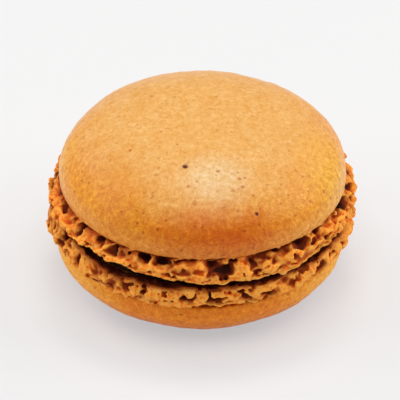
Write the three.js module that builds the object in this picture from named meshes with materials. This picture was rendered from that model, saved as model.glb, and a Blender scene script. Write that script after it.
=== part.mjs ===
// A French macaron: two baked almond shells, each a smooth dome on a frilly, porous foot,
// pressed together over a thin disc of dark filling that shows only in the slit between the feet.
// Millimetres, +Z up, the origin on the table under the middle. The front faces -Y.
import * as THREE from "three";

// Driving dimensions. Each dome is a superellipse: flat on top, with a round shoulder.
const upperShape = {
  lipRadius: 20.7, // the dome's lower edge
  lipShift: 0.5, // how far the lip sits off the middle of the foot
  domeHeight: 9.5, // from the lip to the top of the dome
  footHeight: 3.8, // from the base edge to the lip
  sideRoundness: 3.0,
  topRoundness: 2.4,
};
const lowerShape = {
  lipRadius: 20.8,
  lipShift: 0.1,
  domeHeight: 8.65,
  footHeight: 3.6,
  sideRoundness: 2.95,
  topRoundness: 2.6,
};
const edgeRadius = 21.1; // the foot where it meets the baking sheet
const bulgeRadius = 22.4; // the widest part of the foot
const creaseRadius = 20.2; // the groove between the foot and the lip
const slit = 0.9; // between the two feet
const restRadius = 8; // the flat spot that the lower dome rests on
const recessRadius = 19.6; // the hollow base that holds the filling
const recessDepth = 0.8;
const fillingRadius = 19.2; // the thick middle of the filling
const rimRadius = 20.4; // the filling's thin rim, squeezed out into the slit
const fillingGap = 0.3; // left between the filling's middle and each shell
const rimBottom = 0.25; // the rim's faces, above the lower shell's base edge
const rimTop = 0.6;

// How finely each ring of vertices is divided.
const footColumns = 224;
const footRows = 9;
const domeColumns = [96, 80, 68, 60, 52, 44, 34, 24];
const crownColumns = 12;
const baseColumns = [96, 40, 12];
const fillingColumns = 56;

// Cavities burst open in the feet: [angle in degrees, height above the base edge, width, height, depth].
// Angle 0 is the front, and angles grow towards +X.
const upperCavities = [
  [-79, 3.4, 1.7, 1.5, 1.6],
  [-63, 3.5, 1.1, 0.9, 1.3],
  [-53, 3.1, 1.7, 2.1, 2.2],
  [-41, 3.15, 2.1, 1.9, 2.2],
  [-34.5, 2.8, 1.4, 1.4, 2.2],
  [-27.5, 3.4, 0.8, 0.8, 1.4],
  [-21.5, 3.3, 2.3, 1.4, 2.2],
  [-14.5, 3.3, 2.0, 1.4, 2.2],
  [-9, 3.5, 2.2, 0.9, 1.5],
  [-5, 2.5, 0.9, 0.6, 0.9],
  [-3, 3.5, 2.4, 0.8, 1.4],
  [5, 3.3, 2.8, 1.2, 1.7],
  [9, 2.7, 3.8, 1.8, 1.6],
  [13, 3.2, 2.2, 1.0, 1.5],
  [20, 1.1, 1.0, 0.9, 1.0],
  [20, 2.9, 1.4, 1.5, 1.6],
  [26, 3.5, 2.4, 1.2, 2.0],
  [32, 3.4, 2.4, 1.3, 2.2],
  [31, 1.1, 1.0, 0.8, 1.0],
  [43, 3.3, 2.2, 1.4, 1.8],
  [57, 3.5, 2.0, 1.0, 1.6],
  [62, 2.9, 1.2, 0.8, 1.1],
  [75, 3.3, 2.8, 2.0, 2.0],
];
const lowerCavities = [
  [-72, 2.0, 1.8, 1.2, 1.4],
  [-53, 1.4, 1.2, 1.5, 1.6],
  [-44, 2.6, 1.9, 0.8, 1.6],
  [-35, 2.1, 1.7, 0.8, 1.5],
  [-26, 2.5, 1.5, 0.8, 1.5],
  [-17, 2.4, 1.1, 0.8, 1.3],
  [-6, 1.0, 1.5, 1.2, 1.4],
  [5, 1.5, 3.2, 1.4, 1.8],
  [8, 2.5, 1.4, 0.7, 1.3],
  [17, 1.5, 2.0, 0.9, 1.0],
  [26, 2.2, 1.7, 0.8, 1.5],
  [51, 1.6, 2.0, 1.5, 1.2],
  [66, 1.1, 1.5, 0.9, 1.3],
  [80, 1.6, 1.3, 0.9, 1.2],
];
// Swells round the rims: [amount, angle, half width]. The slit climbs towards the left, and the
// upper base edge is notched there.
const upperLifts = [
  [1.3, -74, 26],
  [0.4, -54, 6],
  [1.2, -44, 4.5],
  [0.25, -38, 4],
  [1.15, -32, 22],
  [1.05, -30, 4],
  [0.4, -22, 20],
  [0.35, -6, 5],
  [0.15, 14, 16],
  [-0.25, 44, 8],
  [0.15, 60, 12],
];
const lowerLifts = [
  [1.2, -68, 34],
  [-0.25, -30, 18],
  [0.25, 54, 8],
  [-0.25, 72, 10],
];
// How far each foot's wall is drawn in on the left, and the filling's rim with it.
const upperTucks = [[0.9, -104, 24]];
const lowerTucks = [[0.4, -64, 26]];
const rimTucks = [[0.6, -42, 40]];

// The sides and the back carry the same kind of cavities, drawn by a seeded rule.
const drawnCavities = {
  count: 40, from: 82, to: 275, width: [1.6, 3.6], height: [1.1, 2.1], depth: [1.3, 2.2],
};

const radians = THREE.MathUtils.degToRad;

// A repeatable number from 0 to 1 for each whole number and seed.
function draw(index, seed) {
  const value = Math.sin(index * 12.9898 + seed * 78.233) * 43758.5453;
  return value - Math.floor(value);
}

function between([low, high], share) {
  return low + (high - low) * share;
}

// How far one angle lies past another, from -180 to 180 degrees.
function turnFrom(centre, angle) {
  return ((((angle - centre) % 360) + 540) % 360) - 180;
}

// The sum of a list of smooth swells at an angle.
function swells(list, angle) {
  return list.reduce((sum, [amount, centre, halfWidth]) =>
    sum + amount * Math.exp(-((turnFrom(centre, angle) / halfWidth) ** 2)), 0);
}

const upperLift = (angle) => swells(upperLifts, angle);
const lowerLift = (angle) => swells(lowerLifts, angle);

function scatter(rule, footHeight, seed) {
  return Array.from({ length: rule.count }, (_, i) => [
    rule.from + ((rule.to - rule.from) * (i + 0.8 * draw(i, seed))) / rule.count,
    between([0.7, footHeight - 0.5], draw(i, seed + 1) ** 0.6),
    between(rule.width, draw(i, seed + 2) ** 2),
    between(rule.height, draw(i, seed + 3)),
    between(rule.depth, draw(i, seed + 4)),
  ]);
}

// How deep the wall is sunk at an angle and height: the deepest cavity there wins, and each has
// sloping sides and a flat floor.
function cavityDepth(cavities, angle, height) {
  let deepest = 0;
  for (const [centre, middle, width, tall, depth] of cavities) {
    const across = (radians(turnFrom(centre, angle)) * bulgeRadius) / (width / 2);
    const up = (height - middle) / (tall / 2);
    const inside = 1 - across * across - up * up;
    if (inside > 0) deepest = Math.max(deepest, depth * Math.min(1, 1.5 * inside));
  }
  return deepest;
}

// Slow waves that keep the shells from being perfectly round.
function footWave(angle, seed) {
  const a = radians(angle);
  return 0.16 * Math.sin(3 * a + seed) + 0.13 * Math.sin(5 * a + 2.1 * seed)
    + 0.14 * Math.sin(11 * a + 0.7 * seed) + 0.12 * Math.sin(17 * a + 1.3 * seed);
}

function lipWave(angle, seed) {
  const a = radians(angle);
  return 0.1 * Math.sin(2 * a + seed) + 0.06 * Math.sin(5 * a + 1.7 * seed);
}

// The foot's wall, from the base edge at share 0 to the crease at share 1.
function footRadius(share) {
  const bulge = Math.sin(Math.PI * Math.min(1, share * 0.92 + 0.04)) ** 0.75;
  const chord = edgeRadius + (creaseRadius - edgeRadius) * share ** 3;
  return chord + (bulgeRadius - edgeRadius) * bulge;
}

// 0 at the hollow base's rim and 1 at the base edge.
function onFoot(radius) {
  return Math.max(0, (radius - recessRadius) / (edgeRadius - recessRadius));
}

function point(angle, radius, height) {
  const a = radians(angle);
  return [radius * Math.sin(a), -radius * Math.cos(a), height];
}

// Collects rings of vertices and joins each to the one before it, whatever their counts.
class Skin {
  constructor() {
    this.positions = [];
    this.faces = [];
    this.last = null;
  }

  ring(count, place) {
    const ring = { start: this.positions.length / 3, count };
    for (let i = 0; i < count; i += 1) {
      this.positions.push(...place((360 * i) / count));
    }
    if (this.last) this.join(this.last, ring);
    this.last = ring;
  }

  join(a, b) {
    let i = a.count > 1 ? 0 : 1;
    let j = 0;
    while (i < a.count || j < b.count) {
      const moveA = j === b.count || (i < a.count && (i + 1) * b.count <= (j + 1) * a.count);
      const onA = a.start + (i % a.count);
      const onB = b.start + (j % b.count);
      if (moveA) {
        this.faces.push(onA, a.start + ((i + 1) % a.count), onB);
        i += 1;
      } else {
        this.faces.push(onA, b.start + ((j + 1) % b.count), onB);
        j += 1;
      }
    }
  }

  // Closes the skin from the last ring to one point, or starts it from one.
  pole(place) {
    const tip = this.positions.length / 3;
    this.positions.push(...place);
    if (this.last) {
      for (let i = 0; i < this.last.count; i += 1) {
        this.faces.push(this.last.start + i, this.last.start + ((i + 1) % this.last.count), tip);
      }
      return;
    }
    this.last = { start: tip, count: 1 };
  }

  geometry(flipped) {
    const faces = [...this.faces];
    if (flipped) {
      for (let i = 0; i < faces.length; i += 3) {
        [faces[i + 1], faces[i + 2]] = [faces[i + 2], faces[i + 1]];
      }
    }
    const geometry = new THREE.BufferGeometry();
    geometry.setAttribute("position", new THREE.Float32BufferAttribute(this.positions, 3));
    geometry.setIndex(faces);
    geometry.computeVertexNormals();
    return geometry;
  }
}

// A shell's heights are counted from its base edge towards the top of its dome.
function domeProfile(shape, share) {
  const t = (share * Math.PI) / 2;
  return {
    radius: shape.lipRadius * Math.cos(t) ** (2 / shape.sideRoundness),
    height: shape.footHeight + shape.domeHeight * Math.sin(t) ** (2 / shape.topRoundness),
  };
}

// Where along the dome's profile a radius is reached.
function shareAtRadius(shape, radius) {
  return Math.acos((radius / shape.lipRadius) ** (shape.sideRoundness / 2)) / (Math.PI / 2);
}

function shellSkin({ shape, cavities, seed, edgeLift, tucks, flatTop }) {
  const { lipRadius, lipShift, footHeight, domeHeight } = shape;
  const skin = new Skin();
  const crownShare = shareAtRadius(shape, restRadius);
  const top = flatTop ? domeProfile(shape, crownShare).height : footHeight + domeHeight;
  const holes = [...cavities, ...scatter(drawnCavities, footHeight, seed)];

  // The hollow base, from its middle out to the base edge.
  skin.pole([0, 0, recessDepth]);
  for (const [i, count] of [...baseColumns].reverse().entries()) {
    const radius = (recessRadius - 0.3) * ((i + 1) / baseColumns.length);
    skin.ring(count, (angle) => point(angle, radius, recessDepth));
  }
  skin.ring(baseColumns[0], (angle) => point(angle, recessRadius, 0.1));

  // The foot's wall, sunk where a cavity has burst.
  for (let row = 0; row <= footRows; row += 1) {
    const share = row / footRows;
    const nearEdge = Math.min(1, 0.15 + share * 4);
    skin.ring(footColumns, (angle) => {
      const height = footHeight * share + edgeLift(angle) * (1 - share) ** 2;
      const column = Math.round((angle * footColumns) / 360);
      const crag = 0.14 * (draw(row * footColumns + column, seed + 20) - 0.5);
      const sunk = cavityDepth(holes, angle, footHeight * share) * nearEdge;
      const wave = footWave(angle, seed) * (1 - 0.7 * share);
      const radius = footRadius(share) + wave + crag * nearEdge - sunk;
      return point(angle, radius - swells(tucks, angle) * Math.min(1, onFoot(radius)), height);
    });
  }

  // The lip hangs a little over the foot, and the dome closes above it.
  const domeRing = (count, radius, height) => skin.ring(count, (angle) => {
    const [x, y] = point(angle, radius + lipWave(angle, seed) * (radius / lipRadius), height);
    return [x + lipShift * (radius / lipRadius) ** 3, y, height];
  });
  domeRing(footColumns, lipRadius - 0.15, footHeight + 0.25);
  for (const [i, count] of domeColumns.entries()) {
    const share = 0.1 + ((crownShare - 0.1) * i) / (domeColumns.length - 1);
    const { radius, height } = domeProfile(shape, share);
    domeRing(count, radius, height);
  }
  if (!flatTop) {
    const { radius, height } = domeProfile(shape, (crownShare + 1) / 2);
    domeRing(crownColumns, radius, height);
  }
  skin.pole([0, 0, top]);
  return { skin, top };
}

function makeMesh(name, geometry, color, roughness) {
  const mesh = new THREE.Mesh(geometry, new THREE.MeshStandardMaterial({ color, roughness, metalness: 0 }));
  mesh.name = name;
  return mesh;
}

function makeShells() {
  const lower = shellSkin({
    shape: lowerShape,
    cavities: lowerCavities,
    seed: 5,
    edgeLift: (angle) => -lowerLift(angle),
    tucks: lowerTucks,
    flatTop: true,
  });
  const upper = shellSkin({
    shape: upperShape,
    cavities: upperCavities,
    seed: 2,
    edgeLift: upperLift,
    tucks: upperTucks,
    flatTop: false,
  });
  const lowerGeometry = lower.skin.geometry(true).scale(1, 1, -1).translate(0, 0, lower.top);
  const upperGeometry = upper.skin.geometry(false);
  const lowerMesh = makeMesh("lower_shell", lowerGeometry, 0xdd9c4c, 0.6);
  const upperMesh = makeMesh("upper_shell", upperGeometry, 0xe6a558, 0.55);
  upperMesh.position.z = lower.top + slit;
  return { lowerMesh, upperMesh, baseHeight: lower.top };
}

// A flat disc between the two hollow bases, with a thin, uneven rim squeezed out into the slit.
function makeFilling(baseHeight) {
  const bottom = baseHeight - recessDepth + fillingGap;
  const top = baseHeight + slit + recessDepth - fillingGap;
  const rimMiddle = baseHeight + (rimBottom + rimTop) / 2;
  const rimHalf = (rimTop - rimBottom) / 2;
  const rimPoint = (angle, turn) => {
    const wave = 0.15 * (Math.sin(7 * radians(angle)) - 1);
    const radius = rimRadius + wave - swells(rimTucks, angle) - 0.2 * Math.abs(turn);
    const climb = onFoot(radius) * 0.5 * (upperLift(angle) + lowerLift(angle));
    return point(angle, radius, rimMiddle + rimHalf * turn + climb);
  };
  const skin = new Skin();
  skin.pole([0, 0, bottom]);
  skin.ring(fillingColumns / 2, (angle) => point(angle, fillingRadius / 2, bottom));
  skin.ring(fillingColumns, (angle) => point(angle, fillingRadius - 0.6, bottom));
  skin.ring(fillingColumns, (angle) => point(angle, fillingRadius, rimMiddle - rimHalf));
  for (const turn of [-1, 0, 1]) {
    skin.ring(fillingColumns, (angle) => rimPoint(angle, turn));
  }
  skin.ring(fillingColumns, (angle) => point(angle, fillingRadius, rimMiddle + rimHalf));
  skin.ring(fillingColumns, (angle) => point(angle, fillingRadius - 0.6, top));
  skin.ring(fillingColumns / 2, (angle) => point(angle, fillingRadius / 2, top));
  skin.pole([0, 0, top]);
  return makeMesh("filling", skin.geometry(false), 0x3a1c0d, 0.45);
}

const { lowerMesh, upperMesh, baseHeight } = makeShells();
const macaron = new THREE.Group();
macaron.add(lowerMesh, makeFilling(baseHeight), upperMesh);

// The origin is under the middle of the whole outline.
const box = new THREE.Box3().setFromObject(macaron);
const middle = box.getCenter(new THREE.Vector3());
for (const mesh of macaron.children) {
  mesh.geometry.translate(-middle.x, -middle.y, 0);
}

export default macaron;
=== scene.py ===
import math

import bpy
import numpy as np
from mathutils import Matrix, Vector


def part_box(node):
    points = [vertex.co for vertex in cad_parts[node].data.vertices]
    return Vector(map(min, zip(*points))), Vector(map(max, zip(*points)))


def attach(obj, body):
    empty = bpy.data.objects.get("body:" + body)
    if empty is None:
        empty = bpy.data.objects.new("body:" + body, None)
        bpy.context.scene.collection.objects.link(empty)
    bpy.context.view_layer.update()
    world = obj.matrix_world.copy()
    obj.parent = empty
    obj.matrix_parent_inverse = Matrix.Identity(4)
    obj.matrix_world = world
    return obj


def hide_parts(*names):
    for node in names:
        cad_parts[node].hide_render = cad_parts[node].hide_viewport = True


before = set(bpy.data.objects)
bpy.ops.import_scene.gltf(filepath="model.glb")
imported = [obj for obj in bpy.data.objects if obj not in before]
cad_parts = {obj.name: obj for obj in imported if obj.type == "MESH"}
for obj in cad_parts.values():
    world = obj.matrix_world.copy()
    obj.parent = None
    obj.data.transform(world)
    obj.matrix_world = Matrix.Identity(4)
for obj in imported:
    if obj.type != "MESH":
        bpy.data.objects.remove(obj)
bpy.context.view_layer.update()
scene = bpy.context.scene


# Sizes of the shells and the filling are in millimetres, angles in degrees.
# Waves: size, how many go round, and how far the seed turns them.
foot = {
    "edgeRadius": 21.1,
    "bulgeRadius": 22.4,
    "creaseRadius": 20.2,     # right under the lip
    "recessRadius": 19.6,     # the hollow base
    "recessDepth": 0.8,
    "baseRings": [(180, 18.0), (40, 9.0), (1, 0.0)],    # points and radius of each ring in the hollow base
    "waves": [(0.16, 3, 1.0), (0.13, 5, 2.1), (0.14, 11, 0.7), (0.12, 17, 1.3)],
    "lipWaves": [(0.1, 2, 1.0), (0.06, 5, 1.7)],
}
slit = 0.9                    # between the base edges of both feet
restRadius = 8.0              # the flat spot that the macaron rests on

# Angle 0 is the front, and angles grow towards the right.
# Cavities: angle, height above the base edge, width, height and depth.
# Lifts and tucks of the base edge: amount, angle and half width.
# Quiet: from one angle to another, only small bubbles break the foot above this share of its height.
upperShell = {
    "seed": 2,
    "lipRadius": 20.7,
    "lipShift": 0.5,          # how far the dome sits off the middle
    "domeHeight": 9.5,
    "footHeight": 3.8,
    "bead": 0.24,             # half the thickness of the torn edge
    "sideRoundness": 3.0,     # the higher, the steeper the dome's side
    "topRoundness": 2.4,      # the higher, the flatter its top
    "lift": [
        (1.3, -74, 26), (0.4, -54, 6), (1.2, -44, 4.5), (0.25, -38, 4), (1.15, -32, 22),
        (1.05, -30, 4.0), (0.4, -22, 20), (0.35, -6, 5), (0.15, 14, 16), (-0.25, 44, 8), (0.15, 60, 12),
    ],
    "tuck": [(0.9, -104, 24)],
    "quiet": (-60, -10, 0.5),
    "bites": 16,              # small bites out of the torn edge
    "edgePaleness": 0.6,
    "crumbShade": 0.0,        # below 0, more of the crumb takes the lighter ridge colour: painted light
    "creaseDepth": 0.42,      # painted shade under the lip: brown, as if the wall lay this much deeper
    "rims": [(21.7, 1.0)],    # painted shade in the slit: where it starts, going in, and how much of it
    "cavities": [
        (-79, 3.4, 1.7, 1.5, 1.6), (-63, 3.5, 1.1, 0.9, 1.3), (-59, 3.5, 0.8, 0.7, 1.2),
        (-53, 3.1, 1.7, 2.1, 2.2), (-47, 3.5, 0.7, 0.6, 1.2), (-41, 3.15, 2.1, 1.9, 2.4),
        (-34.5, 2.8, 1.4, 1.4, 2.4), (-27.5, 3.4, 0.8, 0.8, 1.6), (-21.5, 3.3, 2.3, 1.4, 2.2),
        (-14.5, 3.3, 2.0, 1.4, 2.2), (-9, 3.5, 2.2, 0.9, 1.7), (-5, 2.5, 0.9, 0.6, 0.9),
        (-3, 3.5, 2.4, 0.8, 1.6), (5, 3.3, 2.8, 1.2, 1.7), (9, 2.7, 3.8, 1.8, 1.5),
        (13, 3.2, 2.2, 1.0, 1.5), (20, 1.1, 1.0, 0.9, 1.0), (20, 2.9, 1.4, 1.5, 1.6),
        (26, 3.5, 2.4, 1.2, 2.3), (32, 3.4, 2.4, 1.3, 2.4), (31, 1.1, 1.0, 0.8, 1.0),
        (43, 3.3, 2.2, 1.4, 1.8), (57, 3.5, 2.0, 1.0, 1.6), (62, 2.9, 1.2, 0.8, 1.1),
        (74, 2.9, 3.2, 2.3, 2.2), (-7, 2.8, 3.2, 1.7, 0.55),
    ],
    "spots": [                # burst bubbles and marks on the dome: x, y, width, depth and darkness
        (-2.0, -10.71, 0.95, 0.4, 1.0), (7.88, -17.08, 0.65, 0.2, 0.9), (-9.73, -6.53, 0.5, 0.1, 0.6),
        (-3.14, -5.95, 0.45, 0.05, 0.45), (-2.08, -7.9, 0.5, 0.0, 0.25), (-6.87, 6.56, 0.8, 0.0, 0.35),
        (-6.02, -12.05, 0.6, 0.0, 0.3), (-4.42, -12.85, 0.5, 0.0, 0.3), (-1.51, -14.37, 0.6, 0.0, 0.35),
        (-0.33, -13.57, 0.5, 0.0, 0.35), (2.58, -11.64, 0.65, 0.05, 0.5), (5.56, -12.73, 0.7, 0.05, 0.45),
        (6.26, -12.46, 0.5, 0.0, 0.4), (5.96, -14.04, 0.65, 0.05, 0.5), (4.64, -14.76, 0.7, 0.0, 0.35),
        (7.41, -15.03, 0.5, 0.05, 0.45), (-0.68, -16.85, 0.8, 0.0, 0.35), (-6.41, -15.3, 0.5, 0.0, 0.4),
        (15.79, -12.09, 0.45, 0.1, 0.6), (18.56, -3.71, 0.45, 0.1, 0.5), (14.53, -10.66, 0.4, 0.05, 0.35),
        (-4.4, -17.6, 0.6, 0.0, 0.35), (-8.28, -18.69, 0.45, 0.05, 0.6), (-2.74, -20.05, 0.5, 0.05, 0.5),
    ],
}
lowerShell = {
    "seed": 5,
    "lipRadius": 20.8,
    "lipShift": 0.1,
    "domeHeight": 8.65,
    "footHeight": 3.6,
    "bead": 0.17,
    "sideRoundness": 2.95,
    "topRoundness": 2.6,
    "lift": [(-1.2, -68, 34), (0.25, -30, 18), (-0.25, 54, 8), (0.25, 72, 10)],
    "tuck": [(0.4, -64, 26)],
    "quiet": (60, 105, 0.0),
    "bites": 130,
    "edgePaleness": 0.35,
    # The lower crumb lighter: painted light against the shade of the upper shell.
    "crumbShade": -0.06,
    "creaseDepth": 0.25,
    "rims": [(22.0, 0.4), (21.4, 0.6)],
    "cavities": [
        (-78, 0.3, 2.4, 1.0, 1.6), (-64, 0.4, 2.0, 0.9, 1.5), (-72, 2.0, 1.8, 1.2, 1.4),
        (-53, 1.4, 1.2, 1.5, 1.6), (-44, 2.6, 1.9, 0.8, 1.6),
        (-35, 2.1, 1.7, 0.8, 1.5), (-26, 2.5, 1.5, 0.8, 1.5), (-17, 2.4, 1.1, 0.8, 1.3),
        (-6, 1.0, 1.5, 1.2, 1.4), (5, 1.5, 3.2, 1.4, 1.8), (8, 2.5, 1.4, 0.7, 1.3),
        (17, 1.5, 2.0, 0.9, 1.0), (26, 2.2, 1.7, 0.8, 1.5), (51, 1.6, 2.0, 1.5, 1.2),
        (58, 2.4, 1.6, 1.2, 1.5), (66, 1.1, 1.5, 0.9, 1.3),
    ],
    "spots": [],
}
# Cavities out of sight from the front are drawn between these limits.
backCavities = {
    "count": 40,
    "angles": (82, 275),
    "above": 0.7,             # lowest middle above the base edge
    "below": 0.5,             # highest middle under the lip
    "width": (1.6, 3.6),
    "height": (1.1, 2.1),
    "depth": (1.3, 2.2),
}

# The porous crumb of both feet.
crumb = {
    "columns": 740,           # grid columns round the foot
    "step": 0.18,             # grid step across and up the foot
    "innerRadius": 19.0,
    "deepest": 19.5,          # no cavity reaches further in
    "outerRadius": 23.7,
    "lowest": -0.72,
    "highest": 4.5,
    "bubbles": [              # count, smallest and largest radius, how far the centre may sit inside
        (380, 0.35, 0.7, 0.3),
        (760, 0.2, 0.36, 0.2),
    ],
    "bubbleWidths": (0.8, 1.5),      # as shares of the bubble's radius
    "bubbleHeights": (0.7, 1.1),
    "quietBubble": 0.3,       # bubbles smaller than this also break the quiet part of the foot
    "lumps": (0.18, 3.0),     # size and grain of the lumpy wall
    "warp": (0.22, 3.0),      # how far the cavities are bent out of shape, and the grain of the bends
    "fullnessGrain": 1.6,     # how far round a point its fullness is measured
    "blunt": (1.2, 0.24),     # how strongly, and how thin a spike must be
    "crags": [(0.06, 1.1), (0.036, 2.6)],    # size and grain of the roughness of every broken surface
    "mend": 0.02,             # how deep a mended corner of the grid lies
    "relax": 0.45,            # how far each point is smoothed towards its neighbours
    "roof": 0.02,             # how far above the lip's edge the cavities may reach
}
# Small gaps right under the lip.
lipGaps = {
    "count": 74,
    "outside": 0.3,           # from the crease to the middle of a gap
    "below": (0.1, 0.35),     # from the lip down to the middle of a gap
    "width": (0.8, 2.4),
    "depth": (1.4, 2.6),
    "height": (0.45, 0.9),
}
# The crisp torn edge along the base: a wavering bead that only small bites break.
tornBead = {
    "outside": 0.5,           # from the edge radius out to its middle
    "above": 0.04,
    "waves": (13, 19, 31, 47, 71),
    "waver": 0.11,
    "sideways": 0.8,          # how much of the waver goes out and in
    "rise": 0.08,
    "riseWaves": 5,
    "flatness": 1.2,
    "biteRadii": (-0.4, 0.8),    # from the edge radius
    "biteHeights": (-0.15, 0.4),
    "biteSizes": (0.3, 0.8),
}
# Where each mark on the crumb starts and is full.
marks = {
    "creaseHeights": (0.75, 0.1),    # painted shade below the lip
    "rimWidth": 0.5,
    "rimHeights": (0.7, 0.3),
    "tornRadii": (21.4, 21.8),
    "tornHeights": (0.4, 0.15),
    "skinAbove": 0.12,        # the smooth skin starts this far above the lip's lower side
}
dome = {
    "step": 0.34,             # between the rings of points
    "firstRing": 0.12,        # above the top of the crumb's grid
    "relief": [(0.05, 9.0), (0.02, 3.0), (0.01, 1.3)],    # size and wavelength of each swell
    "sideRadius": 21.0,       # swells push out sideways here,
    "topRadius": 17.0,        # and mostly up from here in
}


# A fixed number from 0 to 1 for each index, scattered like a random draw.
def drawShare(index, seed):
    value = np.sin(index * 12.9898 + seed * 78.233) * 43758.5453
    return value - np.floor(value)


def between(limits, share):
    return limits[0] + (limits[1] - limits[0]) * share


def smoothStep(low, high, value):
    t = np.clip((value - low) / (high - low), 0.0, 1.0)
    return t * t * (3.0 - 2.0 * t)


# The sum of smooth lifts or tucks round the shell.
def swells(rules, angle):
    total = np.zeros_like(angle, dtype=float)
    for amount, centre, halfWidth in rules:
        off = (angle - centre + 540.0) % 360.0 - 180.0
        total += amount * np.exp(-((off / halfWidth) ** 2))
    return total


def ringWave(waves, angle, seed):
    turn = np.radians(angle)
    return sum(size * np.sin(count * turn + start * seed) for size, count, start in waves)


# The wall of a foot, from its base edge at 0 to the crease at 1.
def footRadius(share):
    bulge = np.sin(np.pi * np.minimum(1.0, share * 0.92 + 0.04)) ** 0.75
    chord = foot["edgeRadius"] + (foot["creaseRadius"] - foot["edgeRadius"]) * share ** 3
    return chord + (foot["bulgeRadius"] - foot["edgeRadius"]) * bulge


# The radius and height of the dome, from its lip at 0 to its top at 1.
def domePoint(spec, share):
    t = share * np.pi / 2
    radius = spec["lipRadius"] * np.maximum(np.cos(t), 0.0) ** (2 / spec["sideRoundness"])
    return radius, spec["footHeight"] + spec["domeHeight"] * np.sin(t) ** (2 / spec["topRoundness"])


def heightAtRadius(spec, radius):
    share = math.acos((radius / spec["lipRadius"]) ** (spec["sideRoundness"] / 2)) / (math.pi / 2)
    return float(domePoint(spec, share)[1])


baseHeight = heightAtRadius(lowerShell, restRadius)    # where the lower shell's base edge lies
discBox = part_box("filling")
axisX = (discBox[0][0] + discBox[1][0]) / 2            # the axis that everything is set round, in metres
axisY = (discBox[0][1] + discBox[1][1]) / 2


# The cut through one shell, from the hollow base out and up to the dome.
def shellProfile(spec):
    wall = np.linspace(0.0, 1.0, 60)
    domeRadii, domeHeights = domePoint(spec, np.linspace(0.03, 0.5, 60))
    recess, depth = foot["recessRadius"], foot["recessDepth"]
    top, lip = spec["footHeight"], spec["lipRadius"]
    points = [                # the hollow base and its rounded rim
        (10.0, depth), (recess - 0.4, depth), (recess - 0.2, depth - 0.1), (recess, 0.15),
        (recess + 0.3, 0.04),
    ]
    points += list(zip(footRadius(wall), wall * (top - 0.1)))
    points += [               # the rounded lip
        (lip - 0.65, top - 0.1), (lip - 0.32, top - 0.03), (lip - 0.12, top + 0.08),
        (lip - 0.04, top + 0.22),
    ]
    points += list(zip(domeRadii, domeHeights))
    return np.array(points)


# Distances in the plane of the cut, below zero inside the shell.
def distanceToProfile(profile, radii, heights):
    grid = np.stack(np.meshgrid(radii, heights, indexing="ij"), axis=-1).reshape(-1, 1, 2)
    start, end = profile[:-1], profile[1:]
    along = end - start
    t = np.clip(((grid - start) * along).sum(-1) / (along ** 2).sum(-1), 0.0, 1.0)
    distance = np.sqrt(((grid - start - t[..., None] * along) ** 2).sum(-1)).min(1)
    closed = np.vstack([profile, (10.0, profile[-1][1])])
    a, b = closed, np.roll(closed, -1, axis=0)
    px, py = grid[:, 0, 0:1], grid[:, 0, 1:2]
    crosses = (a[:, 1] > py) != (b[:, 1] > py)
    rise = np.where(b[:, 1] == a[:, 1], 1.0, b[:, 1] - a[:, 1])
    hits = crosses & (px < a[:, 0] + (py - a[:, 1]) * (b[:, 0] - a[:, 0]) / rise)
    inside = hits.sum(1) % 2 == 1
    return np.where(inside, -distance, distance).reshape(len(radii), len(heights))


# The grain of a blur is in grid steps.
def blurField(values, grain):
    waves = [np.fft.fftfreq(n) for n in values.shape[:2]] + [np.fft.rfftfreq(values.shape[2])]
    square = waves[0][:, None, None] ** 2 + waves[1][None, :, None] ** 2 + waves[2][None, None, :] ** 2
    soft = np.fft.rfftn(values) * np.exp(-2.0 * (np.pi * grain) ** 2 * square)
    return np.fft.irfftn(soft, s=values.shape)


# Blurred white noise with unit spread.
def cloudNoise(shape, grain, rng):
    soft = blurField(rng.standard_normal(shape), grain)
    return (soft / soft.std()).astype(np.float32)


# How full the crumb is round each point of the grid, from 0 to 1.
def fullnessOf(field):
    return blurField(np.clip(0.5 - field / crumb["step"], 0.0, 1.0), crumb["fullnessGrain"])


# Cuts one bent ellipsoid out of the field, in the window of the grid that it reaches.
def carve(field, grid, centre, size):
    columnAngle = 360.0 / crumb["columns"]
    warp = grid["warp"]
    reach = 1.0 + 3.0 * crumb["warp"][0]
    angle, radius, height = centre
    half = np.array(size) / 2
    spread = int(math.ceil(np.degrees((half[0] + reach) / radius) / columnAngle))
    columns = np.arange(-spread, spread + 1) + int(round(angle / columnAngle))
    wrapped = columns % crumb["columns"]
    rows = np.flatnonzero(np.abs(grid["radii"] - radius) < half[1] + reach)
    levels = np.flatnonzero(np.abs(grid["heights"] - height) < half[2] + reach)
    if not len(rows) or not len(levels):
        return
    window = np.ix_(wrapped, rows, levels)
    across = np.radians(columns * columnAngle - angle)[:, None, None] * radius + warp[0][window]
    inward = grid["radii"][rows][None, :, None] - radius + warp[1][window]
    upward = grid["heights"][levels][None, None, :] - height + warp[2][window]
    scaled = np.sqrt((across / half[0]) ** 2 + (inward / half[1]) ** 2 + (upward / half[2]) ** 2)
    hollow = (scaled - 1.0) * half.min()
    hollow = np.maximum(hollow, grid["heights"][levels][None, None, :] - grid["roof"])
    hollow = np.maximum(hollow, crumb["deepest"] - grid["radii"][rows][None, :, None])
    field[window] = np.maximum(field[window], -hollow)


# The part of a mask that can be walked to from the seeds, round the ring and up and down.
def reached(mask, seeds):
    found = mask & seeds
    while True:
        grown = found.copy()
        grown |= np.roll(found, 1, 0) | np.roll(found, -1, 0)
        grown[:, 1:] |= found[:, :-1]
        grown[:, :-1] |= found[:, 1:]
        grown[:, :, 1:] |= found[:, :, :-1]
        grown[:, :, :-1] |= found[:, :, 1:]
        grown &= mask
        if grown.sum() == found.sum():
            return found
        found = grown


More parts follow.
